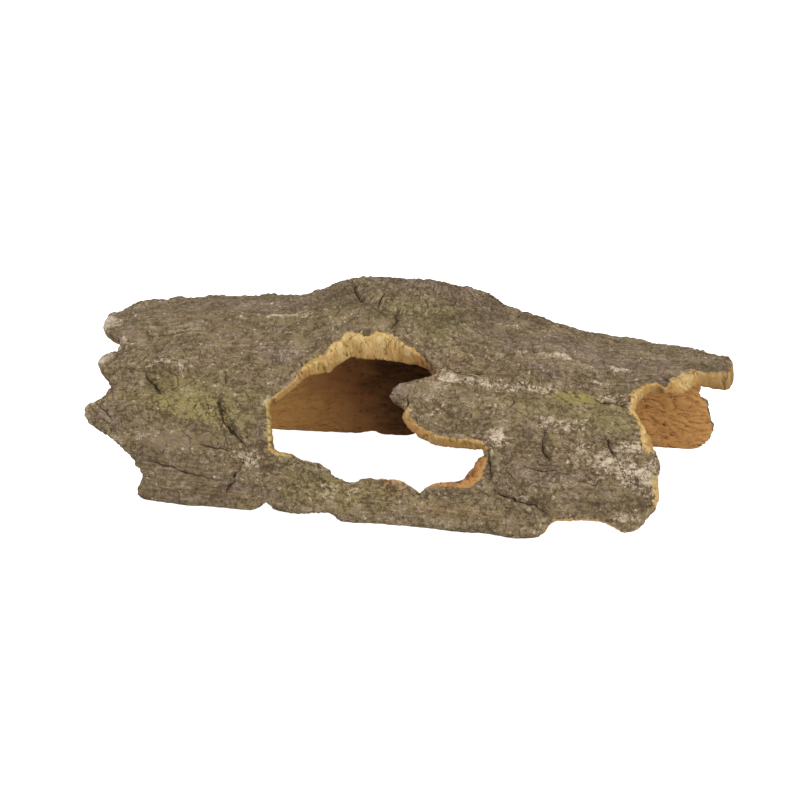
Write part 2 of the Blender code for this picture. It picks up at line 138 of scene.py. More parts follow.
# Breaks that still show fresh fibres: a run of (along, round) on the edge, its reach, how much of it is fresh, how
# pale the fibres are, from brown at 0 to straw at 1, and how far they reach on to the outer bark, in millimetres
FRESH_BREAKS = [
    ([(-51, 53), (-46.5, 57.5)], 2.6, 0.54, 0.1, 0.6),
    ([(-45, 59), (-41, 64)], 2.6, 0.46, 0.5, 0.8),
    ([(-41, 65), (-38, 70)], 2.8, 0.54, 0.2, 0.8),
    ([(-37, 70), (-32, 72.5), (-27, 74)], 5.0, 0.8, 0.2, 3.2),
    ([(-26, 76), (-24, 80), (-19, 85), (-11, 84), (2, 83)], 6.5, 1.0, 0.62, 2.8),
    ([(2, 83), (7, 80.5), (11, 79.5)], 4.5, 0.95, 0.4, 1.6),
    ([(15, 78), (22, 71)], 2.6, 0.4, -0.3, 0.3),
    ([(-50, 33), (-52, 46), (-52, 54)], 2.0, 0.8, 0.35, 0.3),
    ([(11, 52.5), (12.5, 50), (15.5, 47)], 2.8, 0.85, 0.4, 1.8),
    ([(-48, 30), (-41, 28.5)], 2.6, 0.8, 0.3, 1.4),
    ([(15, 48), (20, 44.5), (27, 43.2), (46, 43)], 4.0, 0.95, 0.2, 0.6),
    ([(47, 33), (46, 26.5), (42, 22.8)], 4.5, 1.0, -0.35, 0.5),
    ([(41, 22), (32, 21), (24, 21)], 2.4, 0.6, -0.4, 1.2),
    ([(4, 21.8), (12, 21.2)], 2.0, 0.5, -0.4, 2.4),
    ([(115, 48), (114, 56), (112.5, 61.5)], 4.0, 0.9, 0.5, 1.4),
    ([(112.5, 61.5), (109, 66), (109, 73), (111, 79)], 5.0, 0.9, 0.5, 2.6),
    ([(112, 80), (117, 84), (124, 86)], 3.0, 0.7, 0.25, 0.5),
    ([(126, 90), (132, 98)], 6.0, 1.0, 0.7, 4.0),
    ([(134, 100), (146.5, 105.5)], 7.0, 1.0, 0.3, 1.8),
    ([(148, 109), (148, 121), (146.5, 129)], 7.0, 0.9, 0.0, 0.6),
    ([(146, 130), (134, 144), (136, 154), (130, 170)], 6.0, 0.8, 0.3, 1.0),
    ([(120, 33), (122, 19)], 2.8, 0.85, 0.85, 2.8),
    ([(105, 5.5), (113, 6)], 2.4, 0.6, 0.5, 1.6),
    ([(73, 5), (80, 9.8), (98, 9.8), (104, 7)], 2.4, 0.6, 0.1, 0.8),
    ([(-132, 188), (-130, 206), (-126, 218)], 6.0, 0.6, 0.5, 1.4),
    ([(-23, 238), (-34, 240)], 5.0, 0.6, 0.3, 1.0),
]

# Knobs that stand out of the outer bark: along, round, half width, height
KNOBS = [
    (51, 117, 5.0, 1.7), (66, 116, 4.0, 1.2), (-44, 104, 3.5, 0.9), (-118, 96, 4.0, 0.9), (36, 96, 3.5, 0.8),
    (22, 60, 3.5, 0.8), (96, 88, 3.0, 0.8), (-30, 12, 3.5, 0.8), (60, 9, 3.5, 0.9), (-70, 140, 4.5, 1.3),
    (28, 172, 4.0, 1.2), (-12, 210, 4.5, 1.3), (84, 200, 4.0, 1.1), (-104, 178, 4.0, 1.1), (118, 112, 3.0, 0.8),
]

# Areas of the outer bark: along, round, half length, half width, strength
SMOOTH_AREAS = [
    (-94, 32, 22, 7, 1.0), (-92, 56, 20, 8, 0.5), (99, 61, 15, 7, 0.5), (84, 100, 54, 11, 0.6), (20, 62, 12, 7, 0.6),
    (-139, 102, 9, 9, 1.0), (-135, 75, 8, 6, 1.0), (83, 69.5, 13, 4, 0.5), (70, 58, 18, 4, 0.6),
    (-60, 98, 40, 8, 0.5), (-8, 92, 16, 6, 0.5), (92, 24, 14, 7, 0.5), (-40, 186, 40, 16, 0.6),
    (70, 160, 36, 12, 0.6),
]
STRINGY_AREAS = [
    (-90, 100, 60, 26, 1.0), (-92, 14, 40, 15, 1.0), (-50, 82, 26, 8, 0.8), (96, 106, 66, 26, 0.9),
    (30, 64, 26, 8, 0.5), (-100, 190, 60, 26, 0.8), (20, 205, 70, 24, 0.8), (100, 170, 50, 24, 0.8),
    (20, 8, 60, 8, 0.5),
]
GREEN_AREAS = [
    (-94, 55, 32, 15, 0.8), (-66, 49, 18, 16, 0.7), (12, 98, 30, 14, 0.7), (-30, 101, 22, 9, 0.5),
    (98, 59, 20, 8, 0.8), (66, 63, 20, 6, 0.7), (-45, 86, 14, 6, 0.5), (-24, 22, 26, 10, 0.5),
    (-60, 170, 34, 14, 0.6), (40, 196, 30, 12, 0.6), (90, 150, 26, 10, 0.5), (40, 12, 26, 7, 0.4),
]
# Areas where the outer bark and the fresh breaks are darkened towards the crevices' colour
DARK_AREAS = [
    (-100, 13, 46, 18, 1.0), (-92, 63, 22, 9, 0.8), (-80, 100, 70, 24, 0.6), (90, 100, 50, 16, 0.35),
    (84, 70, 15, 4, 1.0), (140, 106, 18, 12, 1.1), (-20, 150, 60, 12, 0.3), (60, 190, 50, 14, 0.4),
    (-100, 215, 40, 12, 0.4),
]
DARKENING_SHARE = 0.32  # how much of the crevices' colour a dark area takes on
# Painted shade in the middle of the hollow and painted light at its two ends, in the same five numbers
PAINTED_SHADE_AREAS = [(6, 200, 46, 70, 1.0), (-14, 160, 52, 30, 0.7)]
PAINTED_LIGHT_AREAS = [(124, 200, 40, 70, 0.8), (-72, 231, 36, 34, 1.4)]
YELLOW_AREAS = [
    (84, 69, 14, 4, 0.6), (85, 71, 11, 1.9, 1.0), (-16, 13, 36, 8, 0.2), (97, 68.5, 8, 2.2, 0.45),
    (-88, 49, 18, 7, 0.32), (-77, 46, 11, 6, 0.36), (-94, 60, 14, 5, 0.2), (-49, 43, 3.4, 12, 0.6),
    (-43, 29, 5, 1.6, 0.8), (-32, 74, 6, 3, 0.35), (24, 184, 14, 4, 0.5),
]
PALE_AREAS = [
    (51.5, 45, 8.5, 5.2, 1.5), (81, 54.5, 14, 4.6, 1.25), (99, 38.5, 8, 5.6, 1.4), (109, 34, 10, 7, 1.3),
    (111, 47, 9, 3.4, 1.2), (-59, 26, 8, 5, 1.4), (36, 71, 18, 3.2, 1.1), (65, 71.5, 9, 2.2, 1.2),
    (74, 92, 9, 1.8, 1.3), (101, 95, 8, 2.6, 1.2), (99, 71.8, 8, 1.8, 1.2), (109, 12, 8, 3.4, 1.0),
    (104, 38, 13, 10, 0.8), (113, 35, 7, 5, 1.3), (117, 31, 4, 12, 1.0), (91, 44, 8, 4, 0.8),
    (108, 67.5, 2.4, 2.4, 1.6), (60, 73.5, 6, 2, 1.0), (73, 72.6, 7, 1.6, 0.7), (-20, 14, 30, 5, 0.45),
    (24, 55, 14, 4, 0.6), (-46, 102, 30, 1.2, 0.85), (-136, 47, 5, 4, 0.5), (-139, 103, 8, 10, 1.5),
    (-134, 75, 8, 5, 1.4), (-108.5, 68.6, 3, 2.2, 1.0), (53, 70, 7, 3, 0.6), (58, 92, 8, 1.2, 0.7),
    (96, 82, 14, 1.6, 0.6), (-50, 47, 5, 7, 0.5), (44, 84, 16, 1.6, 0.6), (-128, 86, 7, 5, 0.6),
    (-30, 149, 26, 4, 0.9), (70, 178, 20, 4, 1.1), (-80, 205, 20, 5, 0.9), (20, 214, 16, 5, 1.0),
]
# Thin pale lines on the outer bark: a run of (along, round), the half width and the strength
PALE_LINES = [
    ([(-125, 39), (-118, 35), (-110, 33), (-98, 36), (-80, 38)], 0.55, 1.0),
    ([(58, 17.5), (61, 20.5), (66, 20), (70, 15.5)], 0.5, 0.9),
    ([(74, 43), (74.5, 37), (77, 33)], 0.4, 0.9),
    ([(96, 70.5), (103, 69.8), (110, 69.5)], 0.6, 1.0),
    ([(-68, 104), (-52, 102), (-34, 99)], 0.5, 0.8),
    ([(-106, 82), (-84, 81), (-66, 80)], 0.45, 0.7),
    ([(-109, 68.6), (-104, 70), (-103.9, 76.6)], 0.6, 1.2),
    ([(-102, 69.6), (-98, 69.2), (-93.5, 68.6), (-92.4, 67)], 0.7, 1.3),
]
VIOLET_AREAS = [
    (-54, 41, 4, 8, 1.0), (-48, 80, 12, 7, 0.8), (16, 122, 30, 9, 0.5), (66, 102, 30, 7, 0.4), (-124, 46, 10, 6, 0.6),
    (45, 125, 26, 8, 0.5), (-112, 58, 12, 6, 0.4), (6, 62, 6, 5, 0.8), (122, 84, 5, 5, 1.0), (-60, 12, 12, 5, 0.5),
    (-126, 92, 10, 5, 0.5), (40, 26, 20, 4, 0.4), (92, 30, 14, 5, 0.4), (121, 90, 6, 7, 1.0), (70, 84, 12, 4, 0.5),
    (92, 104, 46, 14, 0.6), (42, 100, 22, 10, 0.4), (-60, 112, 40, 8, 0.5), (70, 30, 20, 8, 0.5),
]
RUST_AREAS = [
    (-92, 63, 5, 4, 0.8), (8.5, 18.5, 8, 4, 1.9), (-120, 56, 8, 3, 0.7), (-104, 100, 14, 2, 0.7), (34, 80, 9, 3, 0.6),
    (30, 10, 30, 4, 0.5), (-62, 8, 8, 3, 0.6), (30, 118, 10, 6, 0.5), (56, 62, 10, 3, 0.5),
]


def colour_setting(name, description, shade):
    """A colour that the sidebar shows."""
    return FloatVectorProperty(name=name, description=description, subtype="COLOR", size=4, default=(*shade, 1))


def length_setting(name, description, metres):
    """A small length that the sidebar shows."""
    return FloatProperty(name=name, description=description, default=metres, unit="LENGTH", precision=5)


class BarkSettings(bpy.types.PropertyGroup):
    """Sizes and colours of the bark."""

    cell: length_setting("Fineness", "Size of the cells that the copied solid is rebuilt from", 0.00066)
    quick_cell: length_setting("Quick fineness", "The same for a quick look", 0.0013)
    most_triangles: IntProperty(
        name="Most triangles", description="The finished bark has no more than this", default=196000,
    )
    scale_depth: length_setting("Scale depth", "Depth of the furrows between the bark's small scales", 0.00042)
    grain_depth: length_setting("Grain depth", "Height of the grain that runs along the log", 0.00045)
    flake_depth: length_setting("Flake depth", "Step from one layer of the outer bark to the next", 0.00055)
    fibre_depth: length_setting("Fibre depth", "Depth of the fibres across the fresh breaks", 0.00050)
    ripple_depth: length_setting("Ripple depth", "Depth of the wavy grain on the woody inside", 0.0009)
    bark_colour: colour_setting("Bark", "The outer bark", (0.224, 0.163, 0.090))
    crevice_colour: colour_setting("Crevices", "Furrows between the scales", (0.092, 0.062, 0.032))
    crack_colour: colour_setting("Cracks", "The bottom of the cracks", (0.030, 0.018, 0.009))
    worn_colour: colour_setting("Worn tops", "The highest grain, rubbed pale", (0.40, 0.315, 0.215))
    green_colour: colour_setting("Green", "Algae on the bark", (0.235, 0.193, 0.071))
    yellow_colour: colour_setting("Yellow green", "The brightest algae", (0.40, 0.335, 0.095))
    pale_colour: colour_setting("Pale", "Lichen and dry patches", (0.64, 0.52, 0.385))
    violet_colour: colour_setting("Violet brown", "Bare older layers", (0.205, 0.140, 0.118))
    rust_colour: colour_setting("Rust", "Stains where the fibres show through", (0.30, 0.165, 0.065))
    straw_colour: colour_setting("Straw", "Fresh fibres next to the outer bark", (0.54, 0.365, 0.140))
    ochre_colour: colour_setting("Ochre", "Fresh fibres deeper in the bark", (0.46, 0.265, 0.085))
    fibre_colour: colour_setting("Fibres", "The lightest fibres of the fresh breaks", (0.70, 0.54, 0.30))
    salmon_colour: colour_setting("Salmon", "The thin line where a fresh break meets the inside", (0.55, 0.32, 0.17))
    wood_colour: colour_setting("Inside", "The woody inside", (0.50, 0.226, 0.082))
    # Painted light: the lighter golden colour at the hollow's two open ends
    painted_light_colour: colour_setting("Golden inside", "The lighter wood at the two ends", (0.575, 0.315, 0.096))
    # Painted shade: the nearly black colour of the hollow's middle
    painted_shade_colour: colour_setting("Deep inside", "The darkest wood of the hollow", (0.060, 0.027, 0.011))
    streak_colour: colour_setting("Streaks", "The grooves of the inside's grain", (0.115, 0.048, 0.013))


class StageSettings(bpy.types.PropertyGroup):
    """Floor, light and camera."""

    floor_colour: colour_setting("Floor", "The pale floor", (0.62, 0.62, 0.62))
    floor_size: FloatProperty(name="Floor size", description="The floor's side", default=12, unit="LENGTH")
    floor_glow: FloatProperty(name="Floor glow", description="Light that only the camera sees", default=1.0)
    sky_strength: FloatProperty(name="Sky", description="Even light from all round", default=0.25)
    left_power: FloatProperty(name="Left light", description="The low soft light", default=6.2, unit="POWER")
    right_power: FloatProperty(name="Right light", description="The large soft light", default=12.1, unit="POWER")
    top_power: FloatProperty(name="Top light", description="The soft light overhead", default=11.9, unit="POWER")
    back_power: FloatProperty(name="Back light", description="The soft light behind", default=4.5, unit="POWER")
    azimuth: FloatProperty(
        name="Azimuth", description="The camera's angle round the hide", default=math.radians(12), subtype="ANGLE",
    )
    elevation: FloatProperty(
        name="Elevation", description="The camera's angle above the floor", default=math.radians(18), subtype="ANGLE",
    )
    distance: FloatProperty(name="Distance", description="From the camera to the hide", default=0.878, unit="LENGTH")
    lens: FloatProperty(name="Lens", description="The camera's focal length, in millimetres", default=85)
    look_at: FloatVectorProperty(
        name="Look at", description="The point in the middle of the picture", size=3, subtype="XYZ",
        default=(-0.00635, 0.00203, 0.036),
    )


def steps(value, low, high):
    """0 below low and 1 above high, with a soft step between."""
    t = np.clip((value - low) / (high - low), 0, 1)
    return t * t * (3 - 2 * t)


def blended(first, second, share):
    """As much of the second as share says, and the first for the rest."""
    return first * (1 - share) + second * share


def eased(along, column):
    """A column of STATIONS at each place along the log, with a soft change from station to station."""
    starts = STATIONS[:, 0]
    i = np.clip(np.searchsorted(starts, along) - 1, 0, len(starts) - 2)
    return blended(STATIONS[i, column], STATIONS[i + 1, column], steps(along, starts[i], starts[i + 1]))


def round_share(along, angle):
    """How far round the arch a point at this angle is, from 0 at the front foot to 1 at the back foot."""
    rows, turns = np.linspace(-150, 150, 61), np.linspace(0, np.pi, 241)
    swing = -np.sign(np.cos(turns)) * np.abs(np.cos(turns)) ** (2 / FULLNESS)
    lift = np.abs(np.sin(turns)) ** (2 / FULLNESS)
    front, back, crest = (eased(rows, column)[:, None] for column in (1, 2, 3))
    y, z = np.where(swing < 0, swing * front, swing * back), lift * crest
    y_steps, z_steps = (np.diff(places, axis=1, prepend=places[:, :1]) for places in (y, z))
    walked = np.cumsum(np.hypot(y_steps, z_steps), axis=1)
    shares = walked / walked[:, -1:]
    row = np.clip((along - rows[0]) / (rows[1] - rows[0]), 0, len(rows) - 1.001)
    turn = np.clip(angle / (turns[1] - turns[0]), 0, len(turns) - 1.001)
    i, j = row.astype(int), turn.astype(int)
    low = blended(shares[i, j], shares[i, j + 1], turn - j)
    high = blended(shares[i + 1, j], shares[i + 1, j + 1], turn - j)
    return blended(low, high, row - i)


def sheet_places(points):
    """(along, round, height) of points in metres. height is millimetres above the arch that the sheet lies on."""
    x, y, z = (points / MM).T
    along, across, lift = x + SHEET_MIDDLE[0], y + SHEET_MIDDLE[1], np.maximum(z, 0)
    front, back, crest = (eased(along, column) for column in (1, 2, 3))
    out, up = np.abs(across) / np.where(across < 0, front, back), lift / crest
    angle = np.arctan2(up ** (FULLNESS / 2), out ** (FULLNESS / 2))
    angle = np.where(across < 0, angle, np.pi - angle)
    reach = (out**FULLNESS + up**FULLNESS) ** (1 / FULLNESS)
    height = (reach - 1) * np.minimum(crest, (front + back) / 2)
    return along, GIRTH * round_share(along, angle), height


def waves(first, second, seed):
    """Smooth noise from -1 to 1 at each place."""
    return np.array([noise.noise((a, b, seed)) for a, b in zip(first.tolist(), second.tolist())])


def strands(first, second, seed):
    """Noise with sharp crests, 1 on a crest and less beside it."""
    return 1 - 2.2 * np.abs(waves(first, second, seed))


def cells(first, second, seed):
    """For each place: the distance to its cell's middle, how much farther the next is, and the cell's number."""
    found = [noise.voronoi((a, b, seed)) for a, b in zip(first.tolist(), second.tolist())]
    nearest = np.array([away[0] for away, _ in found])
    gap = np.array([away[1] for away, _ in found]) - nearest
    own = np.array([noise.cell((p[0].x * 9.7, p[0].y * 9.7, p[0].z * 9.7)) for _, p in found])
    return nearest, gap, own


def beside_run(along, around, run):
    """(signed distance, share walked) of each place from a run of (along, round), in millimetres."""
    places = np.stack([along, around], axis=1)
    corners = np.array(run, float)
    lengths = np.linalg.norm(np.diff(corners, axis=0), axis=1)
    starts = np.concatenate([[0], np.cumsum(lengths)])
    away, signed, walked = np.full(len(places), 1e9), np.zeros(len(places)), np.zeros(len(places))
    for i, (start, end) in enumerate(zip(corners[:-1], corners[1:])):
        side = end - start
        offset = places - start
        t = np.clip(offset @ side / (side @ side), 0, 1)
        here = np.linalg.norm(offset - t[:, None] * side, axis=1)
        turn = np.sign(side[0] * offset[:, 1] - side[1] * offset[:, 0])
        nearer = here < away
        away = np.where(nearer, here, away)
        signed = np.where(nearer, here * turn, signed)
        walked = np.where(nearer, (starts[i] + t * lengths[i]) / starts[-1], walked)
    return signed, walked


def areas(along, around, spots, ragged):
    """The strongest of the soft areas at each place, with a ragged border."""
    found = np.zeros(len(along))
    for middle_along, middle_around, half_length, half_width, strength in spots:
        away = np.hypot((along - middle_along) / half_length, (around - middle_around) / half_width)
        found = np.maximum(found, strength * (1 - steps(away + 0.45 * ragged, 0.4, 1.2)))
    return found


def freshness(along, around, ragged):
    """(share, paleness, fringe) of the fresh fibres at each place."""
    share, weights = np.zeros(len(along)), np.full(len(along), 1e-12)
    pale_sum, fringe_sum = np.zeros(len(along)), np.zeros(len(along))
    for run, reach, strength, paleness, fringe in FRESH_BREAKS:
        away = np.abs(beside_run(along, around, run)[0])
        share = np.maximum(share, strength * (1 - steps(away + 1.5 * ragged, 0.6 * reach, 1.2 * reach)))
        weight = np.exp(-away / 2.5)
        weights, pale_sum, fringe_sum = weights + weight, pale_sum + weight * paleness, fringe_sum + weight * fringe
    return share, pale_sum / weights, fringe_sum / weights


def deselect_all():
    """Leaves nothing selected, because the frame's own nodes come in selected."""
    for obj in bpy.context.selected_objects:
        obj.select_set(False)


def take_up(obj):
    """Makes obj the only selected and the active object."""
    deselect_all()
    obj.select_set(True)
    bpy.context.view_layer.objects.active = obj


def apply_modifier(obj, kind, **settings):
    """Adds a modifier with these settings and applies it."""
    take_up(obj)
    modifier = obj.modifiers.new(kind.title(), kind)
    for name, value in settings.items():
        setattr(modifier, name, value)
    bpy.ops.object.modifier_apply(modifier=modifier.name)


def vertex_values(mesh, field):
    """A vector of each vertex, such as its place or its normal, one row each."""
    flat = np.empty(len(mesh.vertices) * 3, np.float32)
    mesh.vertices.foreach_get(field, flat)
    return flat.reshape(-1, 3).astype(float)


def store(mesh, name, *columns):
    """Keeps three numbers for each vertex, for the material to read."""
    values = np.stack(columns, axis=1).astype(np.float32)
    mesh.attributes.new(name, "FLOAT_VECTOR", "POINT").data.foreach_set("vector", values.ravel())


def outline_corners(mesh):
    """The vertices where the selected edges turn a sharp corner."""
    ways = {}
    for edge in mesh.edges:
        if edge.select:
            first, second = edge.vertices
            way = (mesh.vertices[second].co - mesh.vertices[first].co).normalized()
            ways.setdefault(first, []).append(way)
            ways.setdefault(second, []).append(-way)
    turns = {i: max(a.dot(b) for a, b in combinations(found, 2)) for i, found in ways.items() if len(found) > 1}
    return [i for i, turn in turns.items() if turn > NEARLY_STRAIGHT]


def copied_solid(name):
    """A copy of the CAD solid as one merged mesh. Its fresh breaks keep a crisp edge, and the rest is worn round."""
    bark = bpy.data.objects.new(name, SOLID.data.copy())
    bark.data.name = name
    bark.data.materials.clear()
    bpy.context.scene.collection.objects.link(bark)
    take_up(bark)
    bpy.ops.object.mode_set(mode="EDIT")
    bpy.ops.mesh.select_all(action="SELECT")
    bpy.ops.mesh.remove_doubles(threshold=1e-6)
    bpy.ops.mesh.normals_make_consistent(inside=False)
    bpy.ops.mesh.select_all(action="DESELECT")
    bpy.ops.mesh.select_mode(type="EDGE")
    bpy.ops.mesh.edges_select_sharp(sharpness=SHARP_TURN)
    bpy.ops.transform.edge_crease(value=WORN_CREASE)
    bpy.ops.object.mode_set(mode="OBJECT")
    along, around, _ = sheet_places(vertex_values(bark.data, "co"))
    fresh = freshness(along, around, 0)[0] > MOSTLY_FRESH
    for edge in bark.data.edges:
        edge.select = edge.select and bool(fresh[list(edge.vertices)].all())
    corner_creases = bark.data.attributes.new("crease_vert", "FLOAT", "POINT").data
    for i in outline_corners(bark.data):
        corner_creases[i].value = CORNER_CREASE
    bpy.ops.object.mode_set(mode="EDIT")
    bpy.ops.transform.edge_crease(value=FRESH_CREASE)
    bpy.ops.mesh.select_mode(type="VERT")
    bpy.ops.object.mode_set(mode="OBJECT")
    return bark


def wall_faces(mesh):
    """The solid's faces in three searchable trees: outer bark, woody inside, and broken edge."""
    points = vertex_values(mesh, "co")
    outer = sheet_places(points)[2] > -WALL_MIDDLE
    faces = [tuple(face.vertices) for face in mesh.polygons]
    counts = [sum(outer[list(face)]) for face in faces]
    trees = []
    for wanted in ((3,), (0,), (1, 2)):
        kept = [face for face, count in zip(faces, counts) if count in wanted]
        trees.append(BVHTree.FromPolygons(points.tolist(), kept))
    return trees


def distances(points, tree):
    """From each point to the nearest face of the tree, in millimetres."""
    return np.array([tree.find_nearest(point)[3] for point in points.tolist()]) / MM


def grain_places(along, around):
    """(length, width) along and across the grain, which fans out over the knot, and the knot's share."""
    away = np.hypot((along - KNOT[0]) / KNOT[2], (around - KNOT[1]) / KNOT[3])
    knot = 1 - steps(away + 0.12 * waves(along / 9, around / 9, 21.3), 0.75, 1.0)
    offset_along, offset_around = along - KNOT_FAN[0], around - KNOT_FAN[1]
    from_middle = np.hypot(offset_along, offset_around)
    turned = np.arctan2(offset_around, offset_along) * 40
    return blended(along, from_middle, knot), blended(around, turned, knot), knot


def crack_lines(along, around):
    """(depth, signed distance, strength) of the nearest crack, which wavers and tapers to its ends."""
    wavering_along = along + 0.9 * waves(along / 3.1, around / 3.1, 3.8) + 0.3 * waves(along, around, 3.9)
    wavering_around = around + 0.9 * waves(along / 3.1, around / 3.1, 7.3) + 0.3 * waves(along, around, 7.4)
    depth, nearest, strength = np.zeros(len(along)), np.full(len(along), 9.0), np.zeros(len(along))
    for run, deepest, half_width in CRACKS:
        signed, walked = beside_run(wavering_along, wavering_around, run)
        taper = np.sin(np.pi * np.clip(walked, 0, 1)) ** 0.6
        depth = np.maximum(depth, deepest * taper * np.exp(-((signed / (1.3 * half_width)) ** 2)))
        widths = signed / half_width
        nearer = np.abs(widths) < np.abs(nearest)
        nearest, strength = np.where(nearer, widths, nearest), np.where(nearer, taper, strength)
    return depth, nearest, strength


def outer_relief(settings, along, around):
    """(height in millimetres, tone, texture, knot's share) of the outer bark, without its cracks.

    texture goes from -1, where the bark is stringy, to 1, where it is smooth.
    """
    length, width, knot = grain_places(along, around)
    uneven = waves(along / 7, around / 5, 31.0)
    smooth = areas(along, around, SMOOTH_AREAS, uneven)
    stringy = areas(along, around, STRINGY_AREAS, uneven) * (1 - knot)
    bend = 1.3 * waves(along / 5, around / 5, 4.1)
    _, gap, own = cells((length + bend) / 3.1, (width + bend) / 2.1, 2.7)
    furrow = 1 - steps(gap, 0.0, 0.38)
    scales = (1 - 0.5 * stringy) * (1 - 0.75 * smooth)

    slow = waves(along / 17, around / 17, 3.3)
    layers = 2.6 * waves(along / 34, around / 12 + 0.5 * slow, 15.5) + 0.12 * waves(along / 2, around / 2, 15.9)
    flake = (np.floor(layers) + steps(layers - np.floor(layers), 0.0, 0.16)) * (1 - 0.8 * knot)
    broad_grain = strands(length / 22, width / 2.6 + 0.8 * slow, 1.7)
    fine_grain = strands(length / 8, width / 1.3, 6.6)
    rough = waves(along / 3.4, around / 2.8, 2.2)
    grit = waves(along / 1.5, around / 1.4, 9.1)

    height = settings.scale_depth / MM * scales * (0.8 * own - 0.4 - furrow)
    height += settings.grain_depth / MM * ((0.35 + 0.65 * stringy + 0.5 * knot) * broad_grain + 0.3 * fine_grain)
    height += settings.flake_depth / MM * flake + (1 - 0.6 * smooth) * (0.42 * rough + 0.2 * grit)
    for middle_along, middle_around, half_width, rise in KNOBS:
        away = np.hypot(along - middle_along, around - middle_around) / half_width
        height += rise * np.sqrt(np.clip(1 - away**2, 0, 1)) * (1 + 0.3 * rough)
    tone = 0.5 + scales * (0.06 * (own - 0.5) - 0.14 * furrow) + 0.07 * (0.35 + 0.65 * stringy) * broad_grain
    tone += 0.04 * fine_grain + (1 - 0.5 * smooth) * (0.08 * rough + 0.16 * grit)
    return height, tone, smooth - stringy * (1 - smooth), knot


def fresh_relief(settings, along, around, layer):
    """(height, tone) of the fresh breaks: short fibres that run across the bark's thickness."""
    fine = strands(along / 0.9, around / 0.9 + 1.6 * layer, 4.4)
    coarse = strands(along / 2.1, around / 2.1 + 1.8 * layer, 8.8)
    chips = waves(along / 4.2 + 0.8 * layer, around / 4.2 - 0.8 * layer, 1.1)
    splits = waves(along / 4.0, layer * 4.0, 5.1)
    height = settings.fibre_depth / MM * (0.3 * fine + 0.7 * coarse) + 0.45 * chips + 0.2 * splits
    return height, 0.5 + 0.06 * fine + 0.14 * coarse + 0.08 * chips + 0.1 * splits


def inside_relief(settings, along, around):
    """(height, tone) of the woody inside: thin winding grooves, deepest at the two ends."""
    sway = 7.0 * waves(along / 13, around / 12, 6.2) + 2.4 * waves(along / 5, around / 5, 1.9)
    carved = 0.35 + 0.65 * steps(np.abs(along), 70, 105)
    lanes = waves((along + 0.5 * sway) / 8.0, (around + sway) / 3.2, 2.9)
    groove = 1 - steps(np.abs(lanes), 0.0, 0.26)
    fine = strands(along / 7, (around + 0.8 * sway) / 1.5, 7.7)
    soft = waves(along / 26, around / 9, 4.9)
    height = settings.ripple_depth / MM * carved * (0.35 * fine - groove) + 0.5 * soft
    return height, 0.58 + carved * (0.13 * fine - 0.3 * groove)


def roughen(bark, trees, settings):
    """Moves the vertices to give the bark its fine relief, and stores what the material reads."""
    mesh = bark.data
    points, outward = vertex_values(mesh, "co"), vertex_values(mesh, "normal")
    along, around, _ = sheet_places(points)
    to_outer, to_inside, to_edge = (distances(points, tree) for tree in trees)
    layer = to_outer / (to_outer + to_inside + 1e-6)
    ragged = waves(along / 3.2, around / 2.2, 13.1) + 0.5 * waves(along / 1.3, around / 1.1, 5.7)
    fringe = waves(along / 1.1, around / 3.6, 17.1) + 0.6 * waves(along / 4.2, around / 5, 17.9)

    edge = 1 - steps(to_edge - np.minimum(to_outer, to_inside), -0.5, 0.7)
    fresh_here, paleness, fringe_reach = freshness(along, around, ragged)
    spill = (1 - steps(to_edge + 0.7 * fringe_reach * fringe, 0.7 * fringe_reach, fringe_reach)) * fresh_here
    fresh = np.maximum(edge, spill) * steps(fresh_here, 0.15, 0.6) * blended(0.75, 1, fresh_here)
    worn_edge_lip = steps(layer + 0.12 * ragged, 0.62, 0.86) * (1 - fresh_here)
    inside = steps(to_outer - to_inside, -0.5, 0.5) * (1 - edge) + edge * worn_edge_lip

    outer_height, outer_tone, texture, knot = outer_relief(settings, along, around)
    fresh_height, fresh_tone = fresh_relief(settings, along, around, layer)
    inside_height, inside_tone = inside_relief(settings, along, around)
    swell = 0.5 * waves(along / 12, around / 8, 27.0)
    # Painted shade in the hollow's middle, painted light at its two ends, and the darkened areas of the outer bark
    painted_shade, painted_light, dark = (areas(along, around, spots, swell) for spots in (PAINTED_SHADE_AREAS, PAINTED_LIGHT_AREAS, DARK_AREAS))
    crack_depth, crack_side, crack_strength = crack_lines(along, around)
    on_bark = (1 - inside) * (1 - fresh)
    height = blended(blended(outer_height, inside_height, inside), fresh_height, edge * fresh) - crack_depth * on_bark
    tone = blended(blended(outer_tone, inside_tone, inside), fresh_tone, fresh)

    standing = steps(points[:, 2] / MM, *FOOT_RISE)
    moved = points + outward * (height * blended(FOOT_RELIEF, 1, standing))[:, None] * MM
    moved[:, 2] = np.maximum(moved[:, 2], 0)
    mesh.vertices.foreach_set("co", moved.astype(np.float32).ravel())
    mesh.update()

    green, yellow, pale, violet, rust = (
        areas(along, around, spots, ragged)
        for spots in (GREEN_AREAS, YELLOW_AREAS, PALE_AREAS, VIOLET_AREAS, RUST_AREAS)
    )
    for run, half_width, strength in PALE_LINES:
        away = np.abs(beside_run(along, around + 1.2 * ragged, run)[0]) / half_width
        pale = np.maximum(pale, strength * np.exp(-(away**2)))
    length, width, _ = grain_places(along, around)
    store(mesh, "sheet", along, around, layer)
    store(mesh, "grain", length, width, texture)
    store(mesh, "wall", tone, fresh, inside)
    store(mesh, "algae", green, yellow, rust)
    store(mesh, "wear", pale, violet, paleness)
    store(mesh, "crack", crack_side, crack_strength * on_bark, knot)
    # depth holds the painted shade, the painted light and the darkened areas
    store(mesh, "depth", painted_shade, painted_light, dark)


